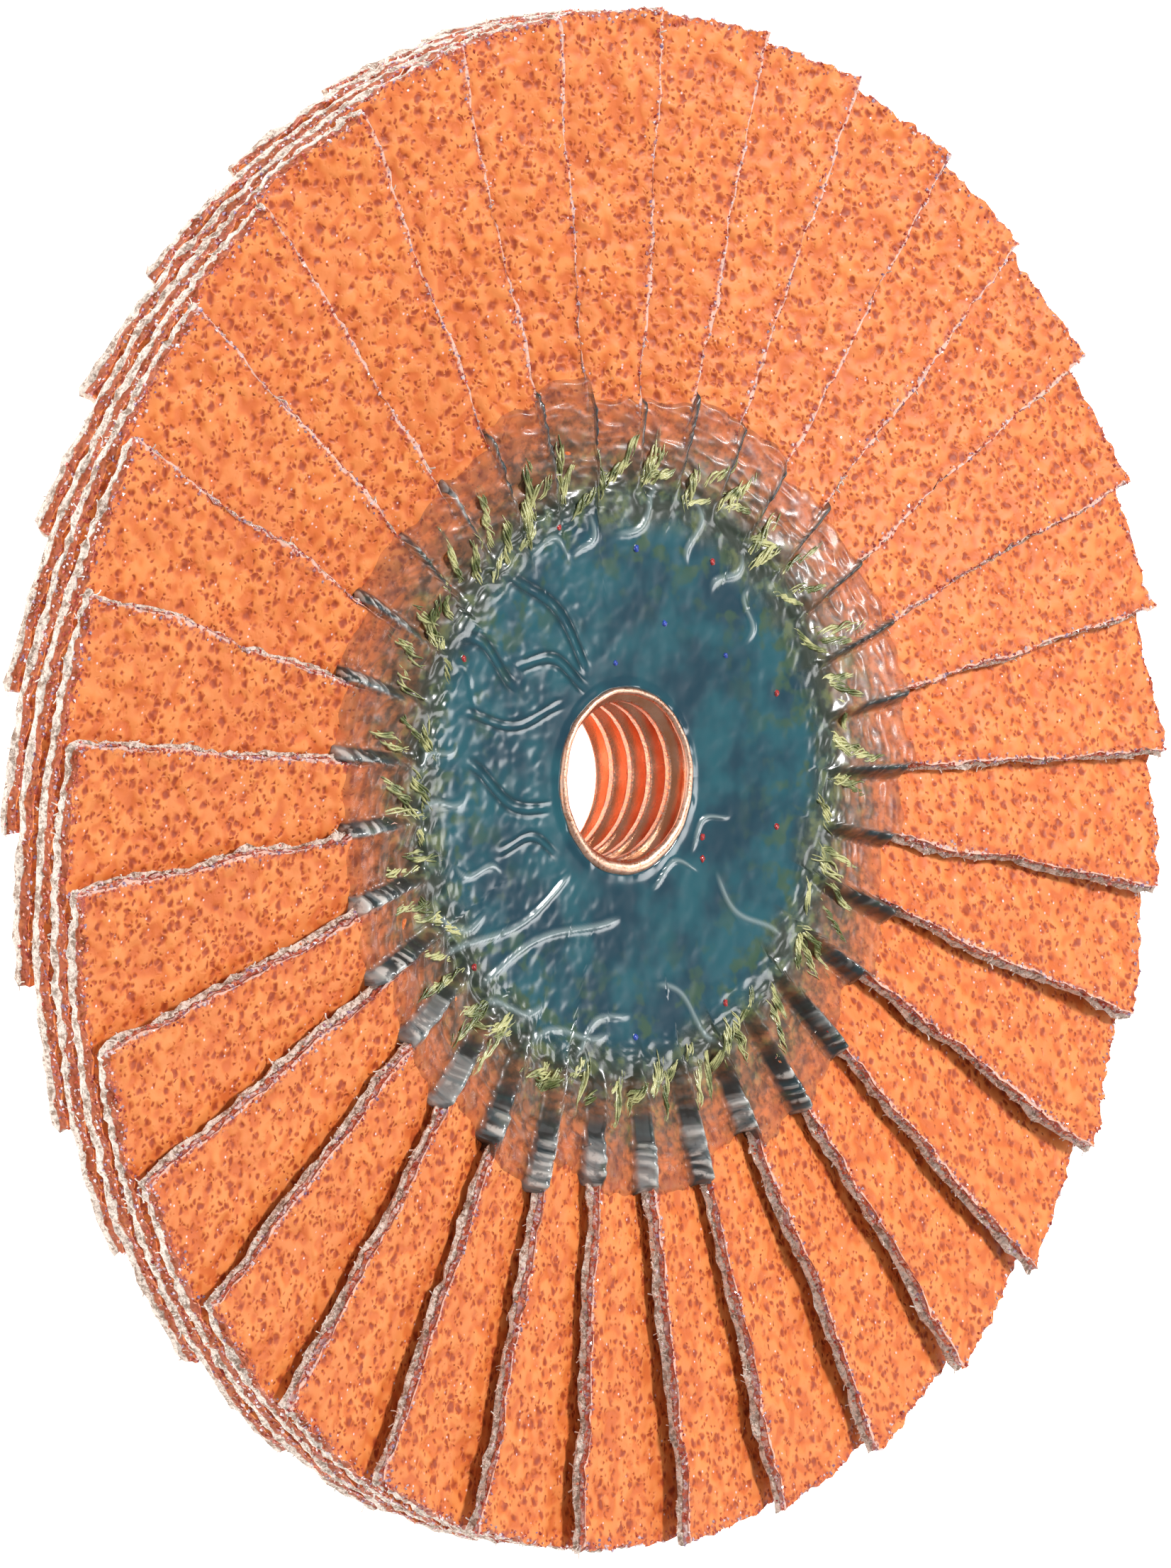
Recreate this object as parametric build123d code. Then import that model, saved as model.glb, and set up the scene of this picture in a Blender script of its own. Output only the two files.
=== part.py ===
from build123d import *
import math
import os

# Flap disc for an angle grinder, lying on its back with the working face up.
# Z is the spindle axis, z = 0 is the back face of the bush flange.
# Every flap is a strip of coated abrasive cloth laid like a shingle: its cut edge
# shows at its clockwise end, and its other end lies at the bottom of the pack.
# Heights along a flap are counted in pitches, counter-clockwise from its cut edge.

# Flap pack
disc_diameter = 115.0
flap_count = 33
flap_inner_radius = 24.0
flap_thickness = 1.42
flap_gap_at_bond = 0.06
flap_fan_at_rim = 0.50
flap_overlap_ratio = 3.63
face_dish = 2.0

# Threaded bush, M14 x 2
thread_minor_diameter = 11.84
thread_mouth_diameter = 14.5
bush_outer_diameter = 16.0
bush_lip_recess = 2.4
flange_across_flats = 22.0
flange_thickness = 2.0
flange_corner_chamfer = 0.5
bush_body_chamfer = 0.3

# Glass-fibre backing plate
plate_diameter = 94.0
plate_thickness = 2.2
plate_edge_chamfer = 0.6

# Adhesive bed between the plate and the flaps
bed_base_thickness = 0.2
bed_edge_inset = 2.0

# Resin of the front: centre disc and the film that runs out over the flaps
film_thickness = 0.35
film_reach = 30.2
film_reach_swing = 1.6
film_root = 1.2
film_wander = 2.4
film_riser_ratio = 0.07
film_lap_ratio = 0.06
film_lap_inset = 0.08
resin_rise_at_flaps = 0.12
resin_below_lip = 0.15
resin_dish = 0.25

# Clearances between pieces that meet
seat_clearance = 0.03
bed_clearance = 0.08
film_clearance = 0.05
bush_clearance = 0.02

disc_radius = disc_diameter / 2
pitch_angle = 360.0 / flap_count
bond_step = flap_thickness + flap_gap_at_bond
rim_step = flap_thickness + flap_fan_at_rim
mouth_chamfer = (thread_mouth_diameter - thread_minor_diameter) / 2

plate_bottom = flange_thickness
plate_top = plate_bottom + plate_thickness
pack_floor = plate_top + bed_base_thickness
bond_depth = bond_step * flap_overlap_ratio + flap_thickness
rim_depth = rim_step * flap_overlap_ratio + flap_thickness
face_height = pack_floor + max(face_dish + bond_depth, rim_depth)
lip_height = face_height - bush_lip_recess


def flap_height(radius, pitches):
    """Height of a flap's grain face at a radius, so many pitches past its cut edge."""
    share = (radius - flap_inner_radius) / (disc_radius - flap_inner_radius)
    dish = face_dish * (1 - share)
    step = bond_step + (rim_step - bond_step) * share
    return face_height - dish - step * pitches


def radial_section(points, pitches):
    """Corners in a plane of the axis, turned counter-clockwise by so many pitches."""
    turn = math.radians(pitches * pitch_angle)
    return [
        Vector(radius * math.cos(turn), radius * math.sin(turn), height)
        for radius, height in points
    ]


def faceted_solid(sections):
    """Solid through a row of sections with matching corners, with flat facets between them.

    Each diagonal starts at the corner further from the axis, so facets of stacked pieces match.
    """
    outlines = [sections[0], sections[-1]]
    for here, there in zip(sections, sections[1:]):
        for side in range(len(here)):
            ends = (side - 1, side)
            near, far = sorted(ends, key=lambda corner: math.hypot(here[corner].X, here[corner].Y))
            outlines.append([here[far], there[far], there[near]])
            outlines.append([here[far], there[near], here[near]])
    return Solid(Shell([Face(Wire.make_polygon(outline)) for outline in outlines]))


def flap_section(pitches):
    inner_top = flap_height(flap_inner_radius, pitches)
    outer_top = flap_height(disc_radius, pitches)
    points = [
        (flap_inner_radius, inner_top),
        (disc_radius, outer_top),
        (disc_radius, outer_top - flap_thickness),
        (flap_inner_radius, inner_top - flap_thickness),
    ]
    return radial_section(points, pitches)


def flap_stops(first, last):
    """Places of a flap's sections, the same in each pitch, so that facets of neighbours match."""
    tail = flap_overlap_ratio % 1
    places = sorted({0, tail / 2, tail, (1 + tail) / 2})
    stops = [turn + place for turn in range(math.ceil(last)) for place in places]
    return [first, *[stop for stop in stops if first < stop < last], last]


def make_flap():
    """One shingle: planar cut ends, faces that wind down round the axis."""
    return faceted_solid([flap_section(stop) for stop in flap_stops(0, flap_overlap_ratio)])


def make_bush():
    """Turned bush with a hexagonal flange at the back, plain bore at the thread's crests."""
    body = Pos(0, 0, flange_thickness) * Cylinder(
        bush_outer_diameter / 2,
        lip_height - flange_thickness,
        align=(Align.CENTER, Align.CENTER, Align.MIN),
    )
    body = chamfer(body.edges().group_by(Axis.Z)[-1], bush_body_chamfer)
    flange = extrude(RegularPolygon(flange_across_flats / 2, 6, major_radius=False), flange_thickness)
    flange_corner_radius = flange_across_flats / 2 / math.cos(math.pi / 6)
    turned_blank = chamfer(
        Cylinder(
            flange_corner_radius,
            flange_thickness,
            align=(Align.CENTER, Align.CENTER, Align.MIN),
        ).edges().group_by(Axis.Z)[0],
        flange_corner_chamfer,
    )
    blank = (flange & turned_blank) + body
    bore_radius = thread_minor_diameter / 2
    mouth_radius = thread_mouth_diameter / 2
    bore_outline = Polyline(
        (0, 0, 0),
        (mouth_radius, 0, 0),
        (bore_radius, 0, mouth_chamfer),
        (bore_radius, 0, lip_height - mouth_chamfer),
        (mouth_radius, 0, lip_height),
        (0, 0, lip_height),
        close=True,
    )
    return blank - revolve(make_face(bore_outline), Axis.Z)


def make_plate():
    """Pressed glass-fibre plate: flat where the flaps are bonded, with a hole for the bush."""
    hole_radius = bush_outer_diameter / 2 + bush_clearance
    blank = Pos(0, 0, plate_bottom) * Cylinder(
        plate_diameter / 2,
        plate_thickness,
        align=(Align.CENTER, Align.CENTER, Align.MIN),
    )
    blank = chamfer(blank.edges().filter_by(GeomType.CIRCLE), plate_edge_chamfer)
    hole = Pos(0, 0, plate_bottom) * Cylinder(
        hole_radius,
        plate_thickness,
        align=(Align.CENTER, Align.CENTER, Align.MIN),
    )
    return blank - hole


def bed_section(pitches):
    inner_radius = flap_inner_radius
    outer_radius = plate_diameter / 2 - bed_edge_inset
    under_flap = flap_thickness + bed_clearance
    points = [
        (inner_radius, plate_top),
        (outer_radius, plate_top),
        (outer_radius, flap_height(outer_radius, pitches) - under_flap),
        (inner_radius, flap_height(inner_radius, pitches) - under_flap),
    ]
    return radial_section(points, pitches)


def make_bed():
    """Adhesive that fills the steps under the flaps, up to the lowest flap at each place."""
    end_clearance = seat_clearance / math.radians(pitch_angle) / flap_inner_radius
    first = flap_overlap_ratio - 1 + end_clearance
    wedge = faceted_solid([bed_section(stop) for stop in flap_stops(first, first + 1)])
    return Part() + [wedge.rotate(Axis.Z, -index * pitch_angle) for index in range(flap_count)]


def film_section(radius, middle):
    """Outline of the film over one step, square to the radius through the strip's middle.

    It starts at the flap's own cut edge, runs over the strip that shows, climbs the
    next flap's cut face and laps a little way over that flap.
    """
    foot = 1 - seat_clearance / math.radians(pitch_angle) / radius
    level = flap_height(radius, 0)
    lap_fall = flap_height(radius, 0) - flap_height(radius, film_lap_ratio)
    lap_bottom = level + film_clearance + film_lap_inset
    lap_top = level + film_thickness - film_lap_inset
    outline = [
        (0, level + film_clearance),
        (foot, flap_height(radius, foot) + film_clearance),
        (foot, lap_bottom),
        (1 + film_lap_ratio, lap_bottom - lap_fall),
        (1 + film_lap_ratio, lap_top - lap_fall),
        (1 - film_riser_ratio, level + film_thickness),
        (1 - film_riser_ratio, flap_height(radius, 1 - film_riser_ratio) + film_thickness),
        (0, level + film_thickness),
    ]
    section = []
    for pitches, height in outline:
        sideways = radius * math.tan(math.radians((pitches - middle) * pitch_angle))
        section.append(Vector(radius, sideways, height).rotate(Axis.Z, middle * pitch_angle))
    return section


def make_film(reach):
    middle = 0.5
    root_radius = flap_inner_radius - film_root
    return faceted_solid([film_section(root_radius, middle), film_section(reach, middle)])


def make_resin():
    """Resin of the front: a dished disc round the bush with a film over each flap."""
    bush_radius = bush_outer_diameter / 2 + bush_clearance
    core_radius = flap_inner_radius - seat_clearance
    middle_radius = (bush_radius + core_radius) / 2
    at_bush = lip_height - resin_below_lip
    at_flaps = flap_height(flap_inner_radius, 0) + film_thickness + resin_rise_at_flaps
    at_middle = (at_bush + at_flaps) / 2 - resin_dish
    outline = [
        Line((bush_radius, 0, plate_top), (core_radius, 0, plate_top)),
        Line((core_radius, 0, plate_top), (core_radius, 0, at_flaps)),
        ThreePointArc(
            (core_radius, 0, at_flaps),
            (middle_radius, 0, at_middle),
            (bush_radius, 0, at_bush),
        ),
        Line((bush_radius, 0, at_bush), (bush_radius, 0, plate_top)),
    ]
    core = revolve(make_face(outline), Axis.Z)
    films = []
    for index in range(flap_count):
        reach = film_reach + film_reach_swing * math.sin(film_wander * index)
        films.append(make_film(reach).rotate(Axis.Z, -index * pitch_angle))
    return Part() + [core, *films]


os.makedirs("parts", exist_ok=True)
base_flap = make_flap()
for index in range(flap_count):
    flap = base_flap.rotate(Axis.Z, -index * pitch_angle)
    export_step(flap, f"parts/flap_{index + 1:02d}.step")
export_step(make_bush(), "parts/threaded_bush.step")
export_step(make_plate(), "parts/backing_plate.step")
export_step(make_bed(), "parts/bond_bed.step")
export_step(make_resin(), "parts/resin_face.step")
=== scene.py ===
import math

import bpy
import numpy as np
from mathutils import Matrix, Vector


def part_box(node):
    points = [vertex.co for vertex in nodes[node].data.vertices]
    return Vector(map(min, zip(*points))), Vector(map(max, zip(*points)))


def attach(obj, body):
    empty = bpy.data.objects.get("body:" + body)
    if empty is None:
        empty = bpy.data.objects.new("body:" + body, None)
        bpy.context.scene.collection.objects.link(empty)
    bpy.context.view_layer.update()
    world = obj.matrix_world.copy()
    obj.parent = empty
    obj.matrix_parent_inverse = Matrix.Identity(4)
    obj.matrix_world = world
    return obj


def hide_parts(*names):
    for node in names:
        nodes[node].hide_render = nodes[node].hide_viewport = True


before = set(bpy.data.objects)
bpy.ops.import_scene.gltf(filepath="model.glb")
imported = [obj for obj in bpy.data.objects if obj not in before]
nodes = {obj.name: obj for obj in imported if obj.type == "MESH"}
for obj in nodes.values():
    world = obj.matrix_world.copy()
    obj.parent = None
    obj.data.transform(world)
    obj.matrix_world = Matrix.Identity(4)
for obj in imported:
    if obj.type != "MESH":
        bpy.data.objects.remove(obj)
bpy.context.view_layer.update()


# Threaded bush
# Turned from steel bar with a hexagonal flange at its back, tapped M14 x 2 right through and
# then copper-plated. The crests of the thread are left rough and dull, its flanks shine.
mm = 0.001
collection = bpy.context.scene.collection
bush_columns = 128
thread_rows = 110
lip_rows = 9
thread_pitch = 2.0 * mm
thread_crest_radius = 5.92 * mm
thread_root_radius = 7.0 * mm
mouth_radius = 7.25 * mm
body_radius = 8.0 * mm
lip_outer_radius = 7.05 * mm
lip_round = 0.34 * mm
lip_neck = 0.9 * mm
lip_dents = ((0.05, 3, 1), (0.03, 8, 0), (0.02, 19, 0))
corner_chamfer = 0.5 * mm
flank_slope = math.tan(math.radians(30))
copper_deep = (0.80, 0.33, 0.17)
copper_bright = (0.93, 0.50, 0.33)
crest_dull = (0.60, 0.42, 0.34)
lip_pale = (0.95, 0.74, 0.62)

lip_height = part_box("threaded_bush")[1].z
flange_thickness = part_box("backing_plate")[0].z
flange_half_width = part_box("threaded_bush")[1].y
flange_corner_radius = flange_half_width / math.cos(math.radians(30))


class Wire:
    """One output of a node. Sums and products of wires and numbers add their Math nodes."""

    def __init__(self, tree, socket=None):
        self.tree = tree
        self.socket = socket

    def add(self, kind, settings=None, inputs=None, output=0):
        """Adds a node: its settings first, then the values or links of its sockets."""
        node = self.tree.nodes.new(kind)
        for name, value in (settings or {}).items():
            if name == "stops":
                self.set_stops(node.color_ramp, value)
            else:
                setattr(node, name, value)
        feed(node, inputs or {})
        return Wire(self.tree, node.outputs[output])

    @staticmethod
    def set_stops(ramp, stops):
        while len(ramp.elements) < len(stops):
            ramp.elements.new(1.0)
        for element, (place, color) in zip(ramp.elements, stops):
            element.position = place
            element.color = (*color, 1.0)

    def other(self, output):
        return Wire(self.tree, self.socket.node.outputs[output])

    def math(self, operation, *values):
        return self.add("ShaderNodeMath", {"operation": operation}, dict(enumerate(values)))

    def vector(self, operation, *values):
        return self.add("ShaderNodeVectorMath", {"operation": operation}, dict(enumerate(values)))

    def __add__(self, value):
        return self.math("ADD", self, value)

    def __radd__(self, value):
        return self.math("ADD", value, self)

    def __sub__(self, value):
        return self.math("SUBTRACT", self, value)

    def __rsub__(self, value):
        return self.math("SUBTRACT", value, self)

    def __mul__(self, value):
        return self.math("MULTIPLY", self, value)

    def __rmul__(self, value):
        return self.math("MULTIPLY", value, self)

    def __truediv__(self, value):
        return self.math("DIVIDE", self, value)

    def __rtruediv__(self, value):
        return self.math("DIVIDE", value, self)

    def least(self, value):
        return self.math("MINIMUM", self, value)

    def most(self, value):
        return self.math("MAXIMUM", self, value)

    def ease(self, low, high):
        """0 at low, 1 at high, with soft ends; low may be the larger number."""
        settings = {"interpolation_type": "SMOOTHSTEP"}
        inputs = {"Value": self, "From Min": low, "From Max": high}
        return self.add("ShaderNodeMapRange", settings, inputs)

    def blend(self, first, second):
        """Colour between two colours, by this wire from 0 to 1."""
        inputs = {0: self, 6: first, 7: second}
        return self.add("ShaderNodeMix", {"data_type": "RGBA"}, inputs, 2)


def feed(node, inputs):
    """Sets or links a node's sockets; a list of wires goes into one joining socket."""
    for name, value in inputs.items():
        socket = node.inputs[name]
        wires = value if isinstance(value, list) else [value]
        for wire in wires:
            if isinstance(wire, Wire):
                wire.tree.links.new(wire.socket, socket)
            elif socket.type == "RGBA" and len(wire) == 3:
                socket.default_value = (*wire, 1.0)
            else:
                socket.default_value = wire


def new_finish(name, surface):
    """Node material, a wire to start its nodes from, and its surface shader."""
    material = bpy.data.materials.new(name)
    material.use_nodes = True
    shader = material.node_tree.nodes["Principled BSDF"]
    feed(shader, surface)
    return material, Wire(material.node_tree), shader


def place_in_mm(start):
    """Object coordinates in millimetres."""
    place = start.add("ShaderNodeTexCoord", output="Object")
    return place.vector("MULTIPLY", place, (1000.0, 1000.0, 1000.0))


def noise(place, scale, detail=2.0, roughness=0.5):
    inputs = {"Vector": place, "Scale": scale, "Detail": detail, "Roughness": roughness}
    return place.add("ShaderNodeTexNoise", None, inputs, "Fac")


def relief(height, strength, distance):
    """Bumps of a height field; the distance is how far a height of 1 stands above 0."""
    inputs = {"Height": height, "Strength": strength, "Distance": distance}
    return height.add("ShaderNodeBump", None, inputs)


def grid_faces(rows, columns, closed_rows=False):
    """Quads of a grid whose columns run round; its rows may close on themselves too."""
    faces = []
    for row in range(rows if closed_rows else rows - 1):
        after = (row + 1) % rows
        for column in range(columns):
            beside = (column + 1) % columns
            faces.append((
                row * columns + column,
                row * columns + beside,
                after * columns + beside,
                after * columns + column,
            ))
    return faces


def new_piece(name, vertices, faces, material):
    """Plain mesh piece that moves with the part, smooth shaded."""
    mesh = bpy.data.meshes.new(name)
    mesh.from_pydata([tuple(vertex) for vertex in vertices], [], faces)
    mesh.polygons.foreach_set("use_smooth", [True] * len(mesh.polygons))
    mesh.materials.append(material)
    piece = bpy.data.objects.new(name, mesh)
    collection.objects.link(piece)
    join_part(piece)
    return piece


def join_part(piece):
    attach(piece, "root")


def thread_radius(angle, height):
    """Radius of a right-handed thread with flat crests, from its phase at this place."""
    phase = np.mod(height / thread_pitch - angle / (2 * math.pi), 1.0)
    from_crest = np.abs(phase - 0.5) * thread_pitch
    depth = (from_crest - thread_pitch / 8) / flank_slope
    return np.clip(thread_crest_radius + depth, thread_crest_radius, thread_root_radius)


bush_angle = np.linspace(0, 2 * math.pi, bush_columns, endpoint=False)
hexagon_radius = flange_half_width / np.cos(np.mod(bush_angle, math.pi / 3) - math.pi / 6)
round_radius = flange_corner_radius - corner_chamfer
bush_outline = [
    (np.minimum(hexagon_radius, round_radius), 0.0),
    (hexagon_radius, corner_chamfer),
    (hexagon_radius, flange_thickness),
    (np.full(bush_columns, body_radius), flange_thickness),
    (np.full(bush_columns, body_radius), lip_height - 1.5 * lip_neck),
    (np.full(bush_columns, lip_outer_radius), lip_height - lip_neck),
]
dents = np.zeros(bush_columns)
for depth, waves, shift in lip_dents:
    dents = dents + depth * np.sin(waves * bush_angle + shift)
half_lip = lip_round * (1.1 - 0.3 * np.sin(bush_angle))
for turn in np.linspace(0, math.pi, lip_rows):
    lip_radius = lip_outer_radius - half_lip * (1 - math.cos(turn)) + dents * mm
    bush_outline.append((lip_radius, lip_height - lip_round * (1 - math.sin(turn))))
lip_inner_radius = lip_radius
thread_length = lip_height - lip_round
for row in range(1, thread_rows):
    height = thread_length * (1 - row / (thread_rows - 1))
    below_lip = thread_length - height
    thread = np.minimum(thread_radius(bush_angle, height), lip_inner_radius + 1.5 * below_lip)
    thread = np.maximum(thread, lip_inner_radius - below_lip)
    bush_outline.append((np.maximum(thread, mouth_radius - height), height))

bush_vertices = []
for radius, height in bush_outline:
    across = np.stack([radius * np.cos(bush_angle), radius * np.sin(bush_angle)], axis=1)
    bush_vertices += [(x, y, height) for x, y in across]

copper, start, shader = new_finish("copper_plate", {"Metallic": 1.0, "Anisotropic": 0.3})
place = place_in_mm(start)
flat = place.vector("MULTIPLY", place, (1.0, 1.0, 0.0))
axis_distance = flat.add("ShaderNodeVectorMath", {"operation": "LENGTH"}, {0: flat}, "Value")
crest = axis_distance.ease(6.15, 5.98)
speckle = noise(place, 5.0, 4.0, 0.7)
tarnish = noise(place, 0.5, 3.0)
dull = crest * speckle.ease(0.42, 0.6)
level = place.add("ShaderNodeSeparateXYZ", None, {0: place}, "Z")
on_lip = level.ease(lip_height / mm - 0.45, lip_height / mm - 0.2)
dull = dull.most(on_lip * speckle.ease(0.35, 0.6) * 0.6)
plated = tarnish.ease(0.35, 0.7).blend(copper_deep, copper_bright)
feed(shader, {
    "Base Color": dull.blend(plated, on_lip.blend(crest_dull, lip_pale)),
    "Roughness": 0.2 + dull * 0.4 + tarnish * 0.12,
    "Normal": relief(speckle + crest * speckle, 0.3, 0.05 * mm),
})
bush_faces = grid_faces(len(bush_outline), bush_columns, True)
bush = new_piece("tapped_bush", bush_vertices, bush_faces, copper)
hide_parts("threaded_bush")


# Backing plate and its adhesive
# The plate is pressed from plain-woven glass cloth in resin; the flaps are set on it in a bed
# of dark teal adhesive that fills the steps under them. Both keep their own solids.
glass_weave_pitch = 1.6
glass_dark = (0.10, 0.14, 0.09)
glass_light = (0.34, 0.38, 0.22)
adhesive_deep = (0.010, 0.055, 0.070)
adhesive_light = (0.035, 0.13, 0.15)


def plain_weave(place, pitch):
    """Threads crossing over and under each other, from -1 to 1; the pitch is in millimetres."""
    axes = place.add("ShaderNodeSeparateXYZ", None, {0: place}, "X")
    turns = 2 * math.pi / pitch
    return axes.math("SINE", axes * turns) * axes.math("SINE", axes.other("Y") * turns)


def refinish(name, material):
    """Gives one of the part's own solids its finish."""
    finishes = nodes[name].data.materials
    finishes.clear()
    finishes.append(material)


glass_cloth, start, shader = new_finish("glass_cloth", {"Coat Weight": 0.25, "Coat Roughness": 0.2})
place = place_in_mm(start)
weave = plain_weave(place, glass_weave_pitch).ease(-0.6, 0.6)
fibres = noise(place.vector("MULTIPLY", place, (1.0, 6.0, 1.0)), 2.0, 3.0)
feed(shader, {
    "Base Color": (weave * 0.7 + fibres * 0.3).blend(glass_dark, glass_light),
    "Roughness": 0.45 - weave * 0.15,
    "Normal": relief(weave + fibres * 0.4, 0.5, 0.15 * mm),
})
refinish("backing_plate", glass_cloth)

adhesive, start, shader = new_finish("adhesive", {"Coat Weight": 0.4})
place = place_in_mm(start)
lumps = noise(place, 0.8, 3.0)
feed(shader, {
    "Base Color": lumps.blend(adhesive_deep, adhesive_light),
    "Roughness": 0.3 + lumps * 0.2,
    "Normal": relief(lumps, 0.6, 0.4 * mm),
})
refinish("bond_bed", adhesive)


# Flaps
# Strips cut from one roll of coated cloth: a beige woven backing under a coat of orange ceramic
# grain. Each is laid on the last like a shingle and bonded at the back. The cutting leaves
# frayed threads, and crushed crystals of red, violet and white along every cut edge.
flap_count = 33
flap_inner_radius = 24.0 * mm
flap_thickness = 1.42 * mm
flap_gap_at_bond = 0.06 * mm
flap_fan_at_rim = 0.50 * mm
flap_overlap = 3.63
points_through = 6
face_dish = 2.0 * mm
cut_waver = 1.3 * mm
cut_sway = 1.2 * mm
cloth_set_back = 0.22 * mm
back_threads = 0.5 * mm
rim_waver = 1.4 * mm
rim_overhang = 1.2 * mm
rim_set_back = 0.15 * mm
corner_spread = 0.2 * mm
face_wave = 1.1 * mm
face_lumps = 0.34 * mm
cut_band = 0.05
rim_band = 0.03
edge_thinning = 0.2
sharp_angle = 0.9
crystal_radius = 0.13 * mm
fibre_radius = 0.07 * mm
any_turn = (6.28, 6.28, 6.28)
disc_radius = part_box("flap_01")[1].x
face_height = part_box("flap_01")[1].z
flap_pitch = 2 * math.pi / flap_count
bond_step = flap_thickness + flap_gap_at_bond
rim_step = flap_thickness + flap_fan_at_rim


def new_rule(name, sizes):
    """Geometry Nodes tree with named inputs: the tree, a starting wire and its inputs' wires."""
    tree = bpy.data.node_groups.new(name, "GeometryNodeTree")
    for size, kind in sizes.items():
        tree.interface.new_socket(name=size, in_out="INPUT", socket_type=kind)
    tree.interface.new_socket(name="Geometry", in_out="OUTPUT", socket_type="NodeSocketGeometry")
    entry = tree.nodes.new("NodeGroupInput")
    return tree, Wire(tree), {size: Wire(tree, entry.outputs[size]) for size in sizes}


def end_rule(geometry):
    last = geometry.tree.nodes.new("NodeGroupOutput")
    feed(last, {"Geometry": geometry})


def grow(name, tree, values):
    """Plain mesh piece made by a Geometry Nodes tree from these input values."""
    piece = bpy.data.objects.new(name, bpy.data.meshes.new(name))
    collection.objects.link(piece)
    modifier = piece.modifiers.new("rule", "NODES")
    modifier.node_group = tree
    for item in tree.interface.items_tree:
        if item.in_out == "INPUT":
            modifier[item.identifier] = values[item.name]
    depsgraph = bpy.context.evaluated_depsgraph_get()
    evaluated = piece.evaluated_get(depsgraph)
    mesh = bpy.data.meshes.new_from_object(
        evaluated, preserve_all_data_layers=True, depsgraph=depsgraph
    )
    for slot_number in reversed(range(len(mesh.materials))):
        if mesh.materials[slot_number] is None:
            mesh.materials.pop(index=slot_number)
    piece.modifiers.remove(modifier)
    piece.data = mesh
    join_part(piece)
    return piece


def keep_field(geometry, name, value, domain="POINT"):
    """Stores a number on the mesh, where its material reads it."""
    settings = {"data_type": "FLOAT", "domain": domain}
    inputs = {"Geometry": geometry, "Name": name, "Value": value}
    return geometry.add("GeometryNodeStoreNamedAttribute", settings, inputs)


def read_field(start, name):
    settings = {"data_type": "FLOAT"}
    return start.add("GeometryNodeInputNamedAttribute", settings, {"Name": name}, "Attribute")


def random_value(start, low, high, seed):
    """Random number between two, or random vector between two."""
    if isinstance(low, tuple):
        inputs = {0: low, 1: high, 8: seed}
        return start.add("FunctionNodeRandomValue", {"data_type": "FLOAT_VECTOR"}, inputs, 0)
    inputs = {2: low, 3: high, 8: seed}
    return start.add("FunctionNodeRandomValue", {"data_type": "FLOAT"}, inputs, 1)


def finish_with(geometry, material):
    return geometry.add("GeometryNodeSetMaterial", None, {"Geometry": geometry, "Material": material})


flap_tree, start, size = new_rule("coated_flap", {
    "Cut Angle": "NodeSocketFloat",
    "Seed": "NodeSocketInt",
    "Points Along": "NodeSocketInt",
    "Points Across": "NodeSocketInt",
    "Inner Radius": "NodeSocketFloat",
    "Outer Radius": "NodeSocketFloat",
    "Thickness": "NodeSocketFloat",
    "Bond Step": "NodeSocketFloat",
    "Rim Step": "NodeSocketFloat",
    "Face Height": "NodeSocketFloat",
    "Dish": "NodeSocketFloat",
    "Overlap": "NodeSocketFloat",
    "Pitch": "NodeSocketFloat",
    "Crystal Density": "NodeSocketFloat",
    "Fibre Density": "NodeSocketFloat",
    "Cloth Finish": "NodeSocketMaterial",
    "Crystal Finish": "NodeSocketMaterial",
    "Fibre Finish": "NodeSocketMaterial",
})
slab = start.add("GeometryNodeMeshCube", None, {
    "Size": (1.0, 1.0, 1.0),
    "Vertices X": size["Points Along"],
    "Vertices Y": size["Points Across"],
    "Vertices Z": points_through,
}, "Mesh")
position = start.add("GeometryNodeInputPosition", output="Position")
axes = position.add("ShaderNodeSeparateXYZ", None, {0: position}, "X")
along = axes + 0.5
share = axes.other("Y") + 0.5
topness = axes.other("Z") + 0.5

# Points stand closer together near the cut edge, and each flap has its own place in the noise.
pitches = size["Overlap"] * along * (0.42 + along * 0.58)
radius = size["Inner Radius"] + (size["Outer Radius"] - size["Inner Radius"]) * share
arc = pitches * size["Pitch"] * radius
strip = start.add("ShaderNodeCombineXYZ", None, {
    "X": arc * 1000.0 + size["Seed"] * 17.3,
    "Y": radius * 1000.0 + size["Seed"] * 31.1,
    "Z": topness * 1.4,
})
step = size["Bond Step"] + (size["Rim Step"] - size["Bond Step"]) * share
slope = step / (radius * size["Pitch"])
worn = 1.0 - pitches.ease(0.5, 0.0) * edge_thinning
drop = (1.0 - topness) * size["Thickness"] * worn / (1.0 + slope * slope)
set_back = drop * slope

at_cut = (1.0 - pitches / cut_band).most(0.0)
at_tail = (1.0 - (size["Overlap"] - pitches) / cut_band).most(0.0)
at_rim = ((share - (1.0 - rim_band)) / rim_band).most(0.0)
ragged_cut = (noise(strip, 1.3, 2.0) - 0.5) * cut_waver + (noise(strip, 0.14, 0.0) - 0.5) * cut_sway
ragged_cut = ragged_cut - topness.ease(0.55, 0.35) * cloth_set_back
ragged_cut = ragged_cut + topness.ease(0.21, 0.0) * back_threads
overhang = noise(strip.vector("MULTIPLY", strip, (1.0, 1.0, 0.0)), 0.75, 2.0) - 0.5
ragged_rim = (noise(strip, 1.2, 3.0) - 0.5) * rim_waver + overhang * topness * rim_overhang
ragged_rim = ragged_rim - topness.ease(0.4, 0.7) * rim_set_back
corner = (1.0 - pitches / 0.3).most(0.0)
wave = (noise(strip, 0.13, 1.0) - 0.5) * face_wave * share
lumps = (noise(strip, 0.6, 1.0) - 0.45) * face_lumps * topness * topness

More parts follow.
